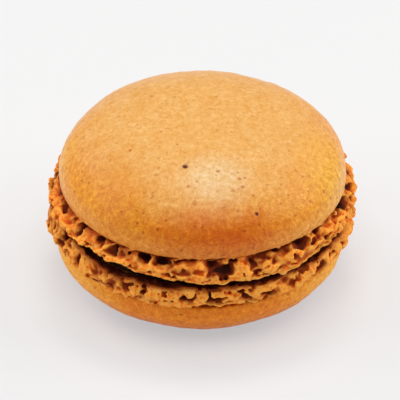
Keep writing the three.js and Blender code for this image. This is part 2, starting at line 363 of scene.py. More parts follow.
# Fills one corner wherever two solid corners of a grid square touch only across its diagonal.
def fillDiagonals(field):
    planes = ((0, 1), (0, 2), (1, 2))
    while True:
        filled = 0
        for first, second in planes:
            own, after, above, beyond = (
                np.roll(field, (-i, -j), (first, second)) < 0 for i, j in ((0, 0), (1, 0), (0, 1), (1, 1)))
            crossed = (own == beyond) & (after == above) & (own != after)
            for axisIndex in (first, second):
                if axisIndex:
                    crossed[(slice(None),) * axisIndex + (-1,)] = False
            spots = np.argwhere(crossed)
            onOwn = field[tuple(spots.T)] >= 0
            shift = np.zeros(3, int)
            shift[first] = 1
            spots[~onOwn] += shift
            spots[:, 0] %= field.shape[0]
            field[tuple(spots.T)] = -crumb["mend"]
            filled += len(spots)
        if not filled:
            return


# Whether a place on the foot lies in its quiet part.
def isQuiet(spec, angle, share):
    first, last, lowest = spec["quiet"]
    return share >= lowest and first < (angle + 180.0) % 360.0 - 180.0 < last


# The listed cavities, and those that a fixed rule draws at the back.
def cavitiesOf(spec):
    index = np.arange(backCavities["count"])
    first, last = backCavities["angles"]
    heights = (backCavities["above"], spec["footHeight"] - backCavities["below"])
    shares = [drawShare(index, spec["seed"] + n) for n in range(5)]
    drawn = zip(
        first + (last - first) * (index + 0.8 * shares[0]) / len(index),
        between(heights, shares[1] ** 0.6),
        between(backCavities["width"], shares[2] ** 2),
        between(backCavities["height"], shares[3]),
        between(backCavities["depth"], shares[4]),
    )
    return spec["cavities"] + list(drawn)


def carveCavities(field, grid, spec):
    for angle, middle, width, height, depth in cavitiesOf(spec):
        radius = float(footRadius(middle / spec["footHeight"]))
        carve(field, grid, (angle, radius, middle), (width, 2 * depth, height))


def carveBubbles(field, grid, spec, rng):
    for count, small, large, inset in crumb["bubbles"]:
        for _ in range(count):
            angle, share = rng.uniform(0, 360), rng.uniform(0.02, 1.0)
            bubble = between((small, large), rng.uniform() ** 1.6)
            radius = float(footRadius(share)) - rng.uniform(-0.3, 1.0) * inset
            stretch = rng.uniform(*crumb["bubbleWidths"]), 1.0, rng.uniform(*crumb["bubbleHeights"])
            size = 2 * bubble * np.array(stretch)
            if bubble < crumb["quietBubble"] or not isQuiet(spec, angle, share):
                carve(field, grid, (angle, radius, share * spec["footHeight"]), size)


def carveLipGaps(field, grid, spec, rng):
    radius = foot["creaseRadius"] + lipGaps["outside"]
    for index in range(lipGaps["count"]):
        angle = (index + rng.uniform(0.0, 0.9)) * 360.0 / lipGaps["count"]
        size = [rng.uniform(*lipGaps[side]) for side in ("width", "depth", "height")]
        height = spec["footHeight"] - rng.uniform(*lipGaps["below"])
        if not isQuiet(spec, angle, 1.0):
            carve(field, grid, (angle, radius, height), size)


def addTornBead(field, grid, spec):
    turn = np.radians(np.arange(crumb["columns"]) * 360.0 / crumb["columns"])[:, None, None]
    waver = sum(np.sin(n * turn + n * spec["seed"]) / n ** 0.5 for n in tornBead["waves"]) * tornBead["waver"]
    rise = 0.5 * (1 + np.cos(tornBead["riseWaves"] * turn + spec["seed"])) * tornBead["rise"]
    radius = foot["edgeRadius"] + tornBead["outside"] + tornBead["sideways"] * waver
    height = spec["bead"] + tornBead["above"] + rise
    outward = grid["radii"][None, :, None] - radius
    upward = grid["heights"][None, None, :] - height
    return np.minimum(field, np.hypot(outward, tornBead["flatness"] * upward) - spec["bead"])


def carveBites(field, grid, spec, rng):
    for _ in range(spec["bites"]):
        radius = foot["edgeRadius"] + rng.uniform(*tornBead["biteRadii"])
        height = rng.uniform(*tornBead["biteHeights"])
        angle, size = rng.uniform(0, 360), rng.uniform(*tornBead["biteSizes"], 3)
        if not isQuiet(spec, angle, 0.0):
            carve(field, grid, (angle, radius, height), size)


# Drops loose crumbs, closes sealed bubbles and fills corners that only touch.
def mendField(field):
    solid = field < 0
    core = np.zeros(field.shape, bool)
    core[:, 0, :] = True
    field[solid & ~reached(solid, core)] = crumb["mend"]
    airy = field >= 0
    outside = np.zeros(field.shape, bool)
    outside[:, -1, :] = True
    outside[:, :, 0] = True
    field[airy & ~reached(airy, outside)] = -crumb["mend"]
    fillDiagonals(field)


# The distance to the surface of one foot, below zero inside, on a grid of angles, radii and heights.
def footField(spec):
    rng = np.random.default_rng(spec["seed"])
    radii = np.arange(crumb["innerRadius"], crumb["outerRadius"], crumb["step"])
    heights = np.arange(crumb["lowest"], crumb["highest"] + 1e-6, crumb["step"])
    shape = (crumb["columns"], len(radii), len(heights))
    skin = distanceToProfile(shellProfile(spec), radii, heights)
    tall, recess = spec["footHeight"], foot["recessRadius"]
    rough = (smoothStep(tall + 0.2, tall - 0.1, heights)[None, None, :]
             * smoothStep(recess - 0.2, recess + 0.3, radii)[None, :, None])
    field = np.broadcast_to(skin, shape).astype(np.float32).copy()
    lumpSize, lumpGrain = crumb["lumps"]
    field += lumpSize * rough * cloudNoise(shape, lumpGrain, rng)
    bend, bendGrain = crumb["warp"]
    warp = [bend * cloudNoise(shape, bendGrain, rng) for _ in range(3)]
    grid = {"radii": radii, "heights": heights, "warp": warp, "roof": tall + crumb["roof"]}

    carveCavities(field, grid, spec)
    carveBubbles(field, grid, spec, rng)
    carveLipGaps(field, grid, spec, rng)
    field = addTornBead(field, grid, spec)
    carveBites(field, grid, spec, rng)

    strength, thinnest = crumb["blunt"]    # blunts the thin spikes that the cavities leave
    field = np.maximum(field, strength * (thinnest - fullnessOf(field)).astype(np.float32))
    field += sum(size * rough * cloudNoise(shape, grain, rng) for size, grain in crumb["crags"])
    mendField(field)
    return grid, skin, field, fullnessOf(field)


# One face across each grid edge that leaves the crumb, turned outwards.
def netFaces(inside, number):
    columns, rowCount, levelCount = inside.shape
    quads = []
    for axisIndex in range(3):
        u, v = (axisIndex + 1) % 3, (axisIndex + 2) % 3
        if axisIndex == 0:
            low, high = inside, np.roll(inside, -1, 0)
        elif axisIndex == 1:
            low, high = inside[:, :-1], inside[:, 1:]
        else:
            low, high = inside[:, :, :-1], inside[:, :, 1:]
        edges = np.argwhere(low != high)
        leaving = low[tuple(edges.T)]
        keep = np.ones(len(edges), bool)
        for other, count in ((1, rowCount), (2, levelCount)):
            if other != axisIndex:
                keep &= (edges[:, other] > 0) & (edges[:, other] < count - 1)
        edges, leaving = edges[keep], leaving[keep]
        around = []
        for du, dv in ((-1, -1), (0, -1), (0, 0), (-1, 0)):
            cell = edges.copy()
            cell[:, u] += du
            cell[:, v] += dv
            cell[:, 0] %= columns
            around.append(number[tuple(cell.T)])
        face = np.stack(around, axis=1)
        face[leaving] = face[leaving][:, ::-1]
        quads.append(face)
    return np.vstack(quads)


# One vertex in each grid cell that the surface crosses, with its depth below the skin and its fullness.
def surfaceNet(grid, skin, field, full):
    columns, rowCount, levelCount = field.shape
    inside = field < 0
    corners = [(i, j, k) for i in (0, 1) for j in (0, 1) for k in (0, 1)]

    def corner(values, i, j, k):
        turned = np.roll(values, -i, 0) if i else values
        return turned[:, j:rowCount - 1 + j, k:levelCount - 1 + k]

    hits = sum(corner(inside, *c).astype(np.int8) for c in corners)
    cells = np.argwhere((hits > 0) & (hits < 8))
    number = np.full((columns, rowCount - 1, levelCount - 1), -1, dtype=np.int64)
    number[tuple(cells.T)] = np.arange(len(cells))

    def at(values, c):
        return values[(cells[:, 0] + c[0]) % columns, cells[:, 1] + c[1], cells[:, 2] + c[2]]

    total = np.zeros((len(cells), 3))
    crossings = np.zeros(len(cells))
    for a in corners:
        for axisIndex in range(3):
            if a[axisIndex]:
                continue
            b = tuple(v + (n == axisIndex) for n, v in enumerate(a))
            low, high = at(field, a), at(field, b)
            crossed = (low < 0) != (high < 0)
            share = np.where(crossed, low / np.where(crossed, low - high, 1.0), 0.0)
            spot = np.tile(np.array(a, float), (len(cells), 1))
            spot[:, axisIndex] += share
            total += spot * crossed[:, None]
            crossings += crossed
    local = total / crossings[:, None]

    spots = cells + local
    points = np.stack([
        spots[:, 0] * 360.0 / columns,
        grid["radii"][0] + spots[:, 1] * crumb["step"],
        grid["heights"][0] + spots[:, 2] * crumb["step"],
    ], axis=1)
    weights = [np.prod(np.where(c, local, 1.0 - local), axis=1) for c in corners]
    skinDepth = sum(w * skin[cells[:, 1] + c[1], cells[:, 2] + c[2]] for w, c in zip(weights, corners))
    fullness = sum(w * at(full, c) for w, c in zip(weights, corners))

    quads = netFaces(inside, number)
    return relaxed(points, quads), quads, -skinDepth, fullness, number


# Moves every point part of the way to the middle of its neighbours, all but the two seams.
def relaxed(points, quads):
    sums, counts = np.zeros_like(points), np.zeros(len(points))
    for corner in range(4):
        own, other = quads[:, corner], quads[:, (corner + 1) % 4]
        for a, b in ((own, other), (other, own)):
            step = points[b] - points[a]
            step[:, 0] = (step[:, 0] + 180.0) % 360.0 - 180.0
            np.add.at(sums, a, step)
            np.add.at(counts, a, 1)
    shift = sums / np.maximum(counts, 1)[:, None]
    seam = points[:, 2] > crumb["highest"] - crumb["step"]
    seam |= points[:, 1] < crumb["innerRadius"] + crumb["step"]
    return points + crumb["relax"] * shift * ~seam[:, None]


# Triangles between two rings that may differ in their number of points; one point makes a fan.
def joinRings(first, second):
    faces = []
    i, j = (1 if len(first) == 1 else 0), (1 if len(second) == 1 else 0)
    lastI, lastJ = len(first), len(second)
    while i < lastI or j < lastJ:
        onFirst, onSecond = first[i % lastI], second[j % lastJ]
        if j == lastJ or (i < lastI and (i + 1) * lastJ <= (j + 1) * lastI):
            faces.append((onFirst, first[(i + 1) % lastI], onSecond))
            i += 1
        else:
            faces.append((onFirst, second[(j + 1) % lastJ], onSecond))
            j += 1
    return faces


def ringPoints(count, radius, height):
    angles = np.arange(count) * 360.0 / count
    return np.stack([angles, np.full(count, radius), np.full(count, height)], axis=1)


def domeRings(spec, flatTop):
    share = np.linspace(0.02, 1.0, 4000)
    radii, heights = domePoint(spec, share)
    start = np.argmax(heights > crumb["highest"] + dome["firstRing"])
    radii, heights = radii[start:], heights[start:]
    length = np.concatenate([[0.0], np.cumsum(np.hypot(np.diff(radii), np.diff(heights)))])
    stops = np.linspace(0.0, length[-1], int(length[-1] / dome["step"]))[:-1]
    radii, heights = np.interp(stops, length, radii), np.interp(stops, length, heights)
    if flatTop:
        radii[np.argmin(abs(radii - restRadius))] = restRadius
        heights = np.minimum(heights, baseHeight)
    counts = np.maximum(8, (2 * np.pi * radii / dome["step"]).astype(int))
    return list(zip(counts, radii, heights))


# A smooth random swell: the sum of waves that run in many directions.
def ripples(points, wavelength, seed, count=14):
    rng = np.random.default_rng(seed)
    ways = rng.standard_normal((count, 3))
    ways *= 2 * np.pi / wavelength / np.linalg.norm(ways, axis=1)[:, None] * rng.uniform(0.7, 1.4, (count, 1))
    phases = rng.uniform(0, 2 * np.pi, count)
    return np.cos(points @ ways.T + phases).sum(1) / math.sqrt(count / 2)


# Turns angle, radius and height into x, y and z, with the waves, lifts, tucks and swells.
def placePoints(points, spec, isUpper):
    angle, radius, height = points.T
    tall, seed = spec["footHeight"], spec["seed"]
    share = np.clip(height / tall, 0.0, 1.0)
    onDome = smoothStep(tall - 0.2, tall + 0.05, height)
    onFoot = np.clip((radius - foot["recessRadius"]) / (foot["edgeRadius"] - foot["recessRadius"]), 0.0, 1.0)
    swing = ringWave(foot["waves"], angle, seed) * (1.0 - 0.7 * share) - swells(spec["tuck"], angle)
    swing *= (1.0 - onDome) * onFoot
    swing += onDome * ringWave(foot["lipWaves"], angle, seed) * radius / spec["lipRadius"]
    lifted = height + onFoot * swells(spec["lift"], angle) * (1.0 - share) ** 2
    turn = np.radians(angle)
    across, along = np.sin(turn), -np.cos(turn)
    lean = spec["lipShift"] * onDome * (radius / spec["lipRadius"]) ** 3
    spread = radius + swing
    placed = np.stack([spread * across + lean, spread * along, lifted], 1)

    side = (radius / dome["sideRadius"]) ** 3
    up = 0.25 + smoothStep(dome["sideRadius"], dome["topRadius"], radius)
    outward = np.stack([across * side, along * side, up], 1)
    outward /= np.linalg.norm(outward, axis=1)[:, None]
    relief = sum(size * ripples(placed, wave, seed + n) for n, (size, wave) in enumerate(dome["relief"]))
    for x, y, width, depth, _ in spec["spots"]:
        away = np.hypot(placed[:, 0] - x, placed[:, 1] - y) / (width / 2)
        relief -= depth * np.exp(-1.5 * away ** 2)
    rise = onDome * smoothStep(tall + 0.3, tall + 1.8, height)
    if not isUpper:
        rise = rise * smoothStep(restRadius, restRadius + 2.5, radius)
    placed += outward * (rise * relief)[:, None]
    placed[:, 2] = baseHeight + (slit + placed[:, 2] if isUpper else -placed[:, 2])
    return placed


def addAttribute(mesh, label, values):
    mesh.attributes.new(label, "FLOAT", "POINT").data.foreach_set("value", values.astype(np.float32))


# What the crumb's material reads, and which faces have it.
def markCrumb(mesh, spec, radii, heights, depths, fullness):
    tall = spec["footHeight"]
    # Painted shade in the crease under the lip, added to the depth below the skin.
    start, end = marks["creaseHeights"]
    crease = smoothStep(tall - start, tall - end, heights)
    addAttribute(mesh, "poreDepth", depths + spec["creaseDepth"] * crease)
    addAttribute(mesh, "fullness", fullness + spec["crumbShade"])
    # Painted shade on the base edges in the slit between the shells.
    rim = sum(share * smoothStep(reach, reach - marks["rimWidth"], radii) for reach, share in spec["rims"])
    addAttribute(mesh, "innerRim", rim * smoothStep(*marks["rimHeights"], heights))
    # A painted highlight along the torn edge of the base.
    torn = smoothStep(*marks["tornRadii"], radii) * smoothStep(*marks["tornHeights"], heights)
    addAttribute(mesh, "tornEdge", spec["edgePaleness"] * torn)
    isSkin = heights >= tall + marks["skinAbove"]
    onSkin = [isSkin[list(face.vertices)].any() for face in mesh.polygons]
    mesh.polygons.foreach_set("material_index", np.logical_not(onSkin).astype(np.int32))


def buildShell(name, spec, isUpper):
    grid, skin, field, full = footField(spec)
    points, quads, depths, fullness, number = surfaceNet(grid, skin, field, full)
    print(name, "foot:", len(points), "points,", len(quads), "faces")
    faces = [tuple(q) for q in quads.tolist()]
    points, depths, fullness = [points], [depths], [fullness]
    total = len(points[0])

    def addRing(count, radius, height):
        nonlocal total
        points.append(ringPoints(count, radius, height))
        depths.append(np.zeros(count))
        fullness.append(np.full(count, 0.5))
        ring = list(range(total, total + count))
        total += count
        return ring

    last = number[:, :, -1].max(axis=1).tolist()    # the seam with the dome
    for count, radius, height in domeRings(spec, not isUpper):
        ring = addRing(count, radius, height)
        faces += joinRings(last, ring)
        last = ring
    tip = addRing(1, 0.0, spec["footHeight"] + spec["domeHeight"] if isUpper else baseHeight)
    faces += joinRings(last, tip)
    last = number[:, 0, :].max(axis=1).tolist()     # the seam with the hollow base
    for count, radius in foot["baseRings"]:
        ring = addRing(count, radius, foot["recessDepth"])
        faces += [f[::-1] for f in joinRings(last, ring)]
        last = ring

    placed = placePoints(np.vstack(points), spec, isUpper)
    placed[:, 0] += axisX * 1000
    placed[:, 1] += axisY * 1000
    if not isUpper:
        faces = [f[::-1] for f in faces]
    mesh = bpy.data.meshes.new(name)
    mesh.from_pydata((placed / 1000).tolist(), [], faces)
    radii, heights = np.vstack(points)[:, 1:].T
    markCrumb(mesh, spec, radii, heights, np.concatenate(depths), np.concatenate(fullness))
    mesh.shade_smooth()
    piece = bpy.data.objects.new(name, mesh)
    scene.collection.objects.link(piece)
    print(name, "done:", len(mesh.polygons), "faces")
    return piece


def linearColour(red, green, blue):
    def linear(value):
        value /= 255
        return value / 12.92 if value <= 0.04045 else ((value + 0.055) / 1.055) ** 2.4
    return (linear(red), linear(green), linear(blue), 1.0)


filling = {
    "columns": 360,
    "coreRadius": 18.9,
    "coreGap": 0.1,           # from the hollow base of each shell
    "rimRadius": 20.4,
    "rimHollow": [(0.8, -42, 40)],    # amount, angle and half width
    "rimSteps": 14,
    "rimBulge": 0.35,
    "rimWaves": [(0.14, 7, 0), (0.1, 12, 1), (0.07, 23, 2)],
    "rimInset": 0.15,
    "light": linearColour(58, 28, 15),
    "dark": linearColour(34, 15, 8),
    "grainSize": 0.9,
    "noiseRange": (0.3, 0.7),
    "roughness": 0.45,
    "specular": 0.3,
    "bump": (0.0001, 0.5),
}


# The faces of both base edges at an angle and radius, as heights above the lower one.
def slitFaces(angle, radius):
    outwards = (radius - foot["recessRadius"]) / (foot["edgeRadius"] - foot["recessRadius"])
    low = -0.05 * (1 - outwards) - outwards * swells(lowerShell["lift"], angle)
    high = slit + 0.05 * (1 - outwards) + outwards * swells(upperShell["lift"], angle)
    return low, high


def buildFilling():
    columns, core = filling["columns"], filling["coreRadius"]
    angle = np.arange(columns) * 360.0 / columns
    turn = np.radians(angle)
    depth = foot["recessDepth"] - filling["coreGap"]
    wave = ringWave(filling["rimWaves"], angle, 1) - filling["rimInset"]
    rows = []
    for radius, height in ((core / 2, -depth), (core, -depth)):
        rows.append((np.full(columns, radius), np.full(columns, height)))
    for step in np.linspace(-1.0, 1.0, filling["rimSteps"]):
        bend = step * math.pi / 2
        radius = filling["rimRadius"] + wave - swells(filling["rimHollow"], angle)
        radius -= filling["rimBulge"] * (1 - math.cos(bend))
        radius = np.maximum(radius, foot["recessRadius"] + 0.05)
        low, high = slitFaces(angle, radius)
        middle, half = (low + high) / 2, (high - low) / 2
        if step == -1.0:
            rows.append((np.full(columns, foot["recessRadius"]), np.full(columns, 0.02)))
        rows.append((radius, middle + half * math.sin(bend)))
        if step == 1.0:
            rows.append((np.full(columns, foot["recessRadius"]), np.full(columns, slit - 0.02)))
    for radius, height in ((core, slit + depth), (core / 2, slit + depth)):
        rows.append((np.full(columns, radius), np.full(columns, height)))

    points = [np.array([[0.0, 0.0, -depth]])]
    for radius, height in rows:
        points.append(np.stack([radius * np.sin(turn), -radius * np.cos(turn), height], 1))
    points.append(np.array([[0.0, 0.0, slit + depth]]))
    rings = [[0]] + [list(range(1 + n * columns, 1 + (n + 1) * columns)) for n in range(len(rows))]
    rings.append([1 + len(rows) * columns])
    faces = [face for first, second in zip(rings, rings[1:]) for face in joinRings(first, second)]
    placed = np.vstack(points) + [axisX * 1000, axisY * 1000, baseHeight]
    mesh = bpy.data.meshes.new("fillingDisc")
    mesh.from_pydata((placed / 1000).tolist(), [], faces)
    mesh.shade_smooth()
    piece = bpy.data.objects.new("fillingDisc", mesh)
    scene.collection.objects.link(piece)
    print("filling done:", len(mesh.polygons), "faces")
    return piece


def addNode(tree, kind, inputs=None, **settings):
    node = tree.nodes.new(kind)
    for name, value in settings.items():
        setattr(node, name, value)
    for socket, value in (inputs or {}).items():
        if isinstance(value, bpy.types.NodeSocket):
            tree.links.new(value, node.inputs[socket])
        else:
            node.inputs[socket].default_value = value
    return node


def mixColour(tree, factor, first, second, blend="MIX"):
    sockets = {0: factor, 6: first, 7: second}
    return addNode(tree, "ShaderNodeMix", sockets, data_type="RGBA", blend_type=blend).outputs[2]


def mathNode(tree, operation, a, b=0.0, c=0.0):
    return addNode(tree, "ShaderNodeMath", {0: a, 1: b, 2: c}, operation=operation).outputs[0]


def rangeNode(tree, value, low, high, start=0.0, end=1.0):
    return addNode(tree, "ShaderNodeMapRange", {
        "Value": value, "From Min": low, "From Max": high, "To Min": start, "To Max": end}).outputs[0]


def newGroup(name, inputs, outputs):
    tree = bpy.data.node_groups.new(name, "ShaderNodeTree")
    for label, kind, value in inputs:
        socket = tree.interface.new_socket(label, in_out="INPUT", socket_type=kind)
        if value is not None:
            socket.default_value = value
    for label, kind in outputs:
        tree.interface.new_socket(label, in_out="OUTPUT", socket_type=kind)
    return tree, tree.nodes.new("NodeGroupInput").outputs, tree.nodes.new("NodeGroupOutput").inputs


# Fine ground almond in the skin: a height for the bump, fine grain, coarser clumps, round specks and mottle.
def makeAlmondGrain():
    tree, given, out = newGroup(
        "almondGrain",
        [("Grain Size", "NodeSocketFloat", 0.3), ("Speck Share", "NodeSocketFloat", 0.35)],
        [(name, "NodeSocketFloat") for name in ("Height", "Grain", "Clumps", "Specks", "Mottle")],
    )
    place = addNode(tree, "ShaderNodeTexCoord").outputs["Object"]
    scale = mathNode(tree, "DIVIDE", 1000.0, given["Grain Size"])
    fine = addNode(tree, "ShaderNodeTexNoise", {
        "Vector": place, "Scale": scale, "Detail": 2.0, "Roughness": 0.55}).outputs["Fac"]
    clumps = addNode(tree, "ShaderNodeTexNoise", {
        "Vector": place, "Scale": mathNode(tree, "MULTIPLY", scale, 0.42), "Detail": 2.0}).outputs["Fac"]
    patches = addNode(tree, "ShaderNodeTexNoise", {
        "Vector": place, "Scale": 420.0, "Detail": 4.0, "Roughness": 0.6}).outputs["Fac"]
    cells = addNode(tree, "ShaderNodeTexVoronoi", {
        "Vector": place, "Scale": mathNode(tree, "MULTIPLY", scale, 0.3)})
    draw = addNode(tree, "ShaderNodeSeparateXYZ", {0: cells.outputs["Color"]}).outputs
    chosen = mathNode(tree, "LESS_THAN", draw["X"], given["Speck Share"])
    ragged = mathNode(tree, "MULTIPLY_ADD", fine, 0.3, cells.outputs["Distance"])
    ragged = mathNode(tree, "MULTIPLY_ADD", draw["Y"], 0.12, ragged)
    specks = mathNode(tree, "MULTIPLY", chosen, rangeNode(tree, ragged, 0.5, 0.3))
    relief = mathNode(tree, "MULTIPLY_ADD", clumps, 0.8, fine)
    results = {"Height": relief, "Grain": fine, "Clumps": clumps, "Specks": specks, "Mottle": patches}
    for name, value in results.items():
        tree.links.new(value, out[name])
    return tree


# In the looks, colours are as seen on a screen, and places, heights and reaches are in metres.
skinLook = {
    "light": linearColour(241, 183, 106),
    "deep": linearColour(235, 169, 85),
    "pale": linearColour(238, 194, 134),         # a painted highlight on top: a paler patch where the top light's sheen falls
    "paleCentre": (0.0022, -0.0134, 0.0258),
    "paleReach": (0.0062, 0.0022),               # where the patch ends and is full
    "amber": linearColour(227, 137, 9),
    "ambers": [                                  # browner sides: centre, where it starts and is full, share
        ((-0.019, -0.015, 0.019), (0.016, 0.0035), 0.9),
        ((0.0148, -0.0098, 0.0232), (0.006, 0.0015), 0.3),
    ],
    "flank": linearColour(242, 151, 8),          # the lower part of the dome, all round
    "lipRim": linearColour(239, 157, 56),
    "lipRimHeights": (0.0205, 0.018),
    "flankHeights": (0.0253, 0.02),
    "toasted": linearColour(220, 103, 6),        # the front flank, browner: partly toasting, partly painted shade where it faces away from the lights
    "toastCentre": (0.0044, -0.02, 0.02),
    "toastSquash": 0.26,                         # how little a step sideways counts
    "toastReach": (0.0054, 0.0008),
    "browned": linearColour(233, 139, 22),       # a weaker browner patch on the front left flank: partly browning, partly painted shade
    "brownedCentre": (-0.0116, -0.0159, 0.0204),
    "brownedReach": (0.006, 0.0008),
    # paler left and right sides: partly paler skin, partly a painted sheen along the outline
    "paleSide": linearColour(242, 174, 52),
    "paleSides": [                               # centre, where it ends and is full, share
        ((0.0194, -0.0058, 0.02), (0.0088, 0.003), 0.85),
        ((-0.021, -0.001, 0.0195), (0.006, 0.001), 0.7),
    ],
    "speck": linearColour(168, 76, 8),
    "speckShares": (0.3, 0.75),                  # on top and on the browner skin
    "brownerHeights": (0.0245, 0.0215),
    "spot": linearColour(102, 30, 0),            # small burst bubbles and dark marks; in the deepest bubbles the dark is partly painted shade
    "faintSpot": linearColour(196, 104, 20),
    "spotReach": (1.7, 3.5),                     # the width over these: where a spot ends and is full
    "spotStrength": 1.5,
    "darkSpot": 0.7,                             # the darkness from which a spot isn't faint
    "noiseRange": (0.3, 0.7),                    # of the mottle and of the grain
    "patchRaggedness": 0.003,
    "grain": ((0.94, 0.86, 0.62, 1), (1.04, 1.12, 1.36, 1)),
    "clumps": ((0.94, 0.86, 0.68, 1), (1.05, 1.13, 1.32, 1)),
    "roughness": 0.42,
    "specular": 0.3,
    "sheen": (0.25, 0.3),                        # weight and roughness
    "bump": (0.00012, 0.28),                     # distance and strength
}
undersideLook = {
    # The sides lighter than the front: painted light, in place of light from the sides.
    "front": linearColour(240, 134, 18),
    "sides": linearColour(255, 172, 38),
    "frontCentre": (0.0, -0.02, 0.006),
    "frontReach": (0.0195, 0.0095),
    "base": linearColour(208, 108, 14),          # painted shade near the ground
    "baseHeights": (0.006, 0.0025),
    "speck": linearColour(168, 76, 8),
    "speckShare": 0.85,
    "roughness": 0.5,
    "specular": 0.2,
    "bump": (0.00012, 0.28),
}
crumbLook = {
    "edge": linearColour(255, 190, 94),          # a painted highlight along the torn edge
    "ridge": linearColour(255, 178, 72),
    "baked": linearColour(252, 126, 28),         # browner patches on the ridges
    "wall": linearColour(242, 108, 20),
    "pore": linearColour(190, 76, 14),           # fine pores in the ridges
    # Painted shade in the cavities, almost black at their bottom; partly a darker crumb inside.
    "cavity": linearColour(150, 52, 6),
    "pitBottom": linearColour(54, 13, 2),
    "ledge": linearColour(176, 78, 20),          # the base just behind the edge, browner: partly painted shade of the slit
    "rim": linearColour(84, 28, 8),              # painted shade on the base further in, in the slit
    "grainSize": 0.2,
    "specks": (0.5, 0.7),                        # how many, and how dark
    "mottleRange": (-0.4, 1.8),                  # the wider, the less the mottle changes the shade
    "mottleMiddle": 0.4,
    "bakedRange": (0.66, 0.46),
    "wallRange": (0.58, 0.42),                   # fullness, from wall to ridge; the browner wall where the crumb is fuller is partly painted shade
    "cavityRange": (0.1, 0.65),                  # depth below the skin in millimetres
    "pitRange": (0.5, 1.2),
    "roughness": 0.75,
    "specular": 0.15,
    "bump": (0.00012, 0.6),
}


def newMaterial(name):
    material = bpy.data.materials.new(name)
    material.use_nodes = True
    material.node_tree.nodes.clear()
    return material, material.node_tree


def finishMaterial(tree, look, colour, height, extra=None):
    distance, strength = look["bump"]
    bump = addNode(tree, "ShaderNodeBump", {"Height": height, "Distance": distance, "Strength": strength})
    shader = addNode(tree, "ShaderNodeBsdfPrincipled", {
        "Base Color": colour, "Roughness": look["roughness"], "Specular IOR Level": look["specular"],
        "Normal": bump.outputs[0], **(extra or {})})
    output = addNode(tree, "ShaderNodeOutputMaterial")
    tree.links.new(shader.outputs[0], output.inputs["Surface"])


def addGroup(tree, group, inputs=None):
    return addNode(tree, "ShaderNodeGroup", inputs, node_tree=group).outputs


def placeAndHeight(tree):
    place = addNode(tree, "ShaderNodeTexCoord").outputs["Object"]
    return place, addNode(tree, "ShaderNodeSeparateXYZ", {0: place}).outputs["Z"]


def distanceNode(tree, place, centre):
    return addNode(tree, "ShaderNodeVectorMath", {0: place, 1: centre}, operation="DISTANCE").outputs["Value"]


# A mask for a soft patch: full near its centre and gone further out, with an uneven edge.
def makeSoftPatch():
    tree, given, out = newGroup(
        "softPatch",
        [("Place", "NodeSocketVector", None), ("Centre", "NodeSocketVector", None),
         ("End", "NodeSocketFloat", 0.006), ("Full", "NodeSocketFloat", 0.002),
         ("Mottle", "NodeSocketFloat", 0.5), ("Raggedness", "NodeSocketFloat", skinLook["patchRaggedness"])],
        [("Mask", "NodeSocketFloat")],
    )
    away = distanceNode(tree, given["Place"], given["Centre"])
    uneven = mathNode(tree, "MULTIPLY_ADD", given["Mottle"], given["Raggedness"], away)
    half = mathNode(tree, "MULTIPLY", given["Raggedness"], 0.5)
    end, full = (mathNode(tree, "ADD", given[name], half) for name in ("End", "Full"))
    tree.links.new(rangeNode(tree, uneven, end, full), out["Mask"])
    return tree


# Multiplies a colour by the grain and its clumps, and once more by the given share.
def makeAlmondDusting():
    tree, given, out = newGroup(
        "almondDusting",
        [("Colour", "NodeSocketColor", None), ("Grain", "NodeSocketFloat", 0.5),
         ("Clumps", "NodeSocketFloat", 0.5), ("Twice", "NodeSocketFloat", 1.0)],
        [("Colour", "NodeSocketColor")],
    )
    colour = given["Colour"]
    for label, name in (("grain", "Grain"), ("clumps", "Clumps")):
        dust = mixColour(tree, rangeNode(tree, given[name], *skinLook["noiseRange"]), *skinLook[label])
        colour = mixColour(tree, 1.0, colour, dust, "MULTIPLY")
        colour = mixColour(tree, given["Twice"], colour, dust, "MULTIPLY")
    tree.links.new(colour, out["Colour"])
    return tree


def patchMask(tree, groups, place, centre, reach, mottle):
    end, full = reach
    return addGroup(tree, groups["patch"], {
        "Place": place, "Centre": centre, "End": end, "Full": full, "Mottle": mottle})["Mask"]


def dusted(tree, groups, colour, grain, twice):
    return addGroup(tree, groups["dusting"], {
        "Colour": colour, "Grain": grain["Grain"], "Clumps": grain["Clumps"], "Twice": twice})["Colour"]


# Mixes a colour in by a mask that counts only in part.
def mixShare(tree, mask, share, colour, other):
    return mixColour(tree, mathNode(tree, "MULTIPLY", mask, share), colour, other)
